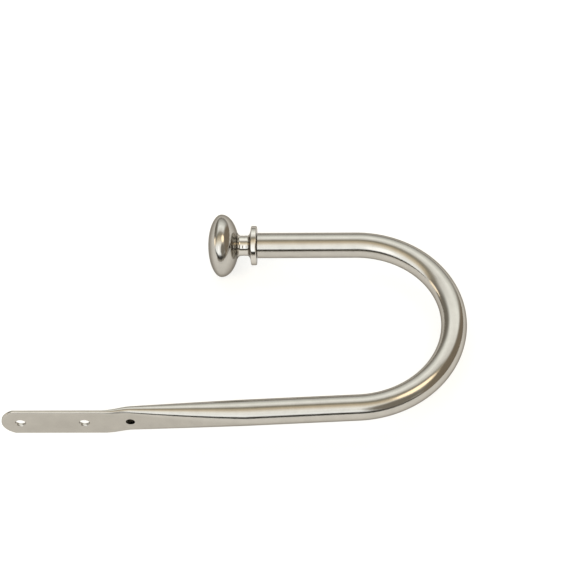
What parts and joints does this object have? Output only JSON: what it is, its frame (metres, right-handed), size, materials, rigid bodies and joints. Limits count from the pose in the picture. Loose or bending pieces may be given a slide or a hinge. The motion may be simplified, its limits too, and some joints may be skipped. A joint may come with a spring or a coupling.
{
  "type": "curtain holdback",
  "caption": "Wall-mounted curtain holdback: U-bent steel tube arm with a pressed flat screw end and a screw-on mushroom finial.",
  "frame": {"origin": "wall-side face of the pressed flat end, midway between its two screw holes", "axes": "+X along the flat end towards the bend, +Y away from the wall, +Z square to the plane of the bend"},
  "size_m": [0.2834, 0.1544, 0.0398],
  "materials": {
    "satin_nickel": "satin nickel plate over steel tube",
    "satin_cap": "satin nickel, turned",
    "polished_nickel": "polished nickel",
    "zinc_steel": "zinc plated thread",
    "brass_insert": "plain brass"
  },
  "bodies": {
    "arm": {"arm_tube": "satin_nickel", "tube_end_plug": "brass_insert"},
    "collar": {"finial_collar": "polished_nickel"},
    "cap": {"finial_cap": "satin_cap", "finial_stud": "zinc_steel"}
  },
  "joints": [
    {"name": "collar_travel", "type": "slide", "parent": "arm", "child": "collar", "axis": [-1, 0, 0], "range_m": [0, 0.01]},
    {"name": "cap_turn", "type": "hinge", "parent": "collar", "child": "cap", "pos_m": [0.12061, 0.1338, 0], "axis": [-1, 0, 0], "range_deg": [0, 3600]}
  ],
  "couplings": [
    {"joint": "cap_turn", "follows": "collar_travel", "rad_per_m": 6283.2}
  ]
}
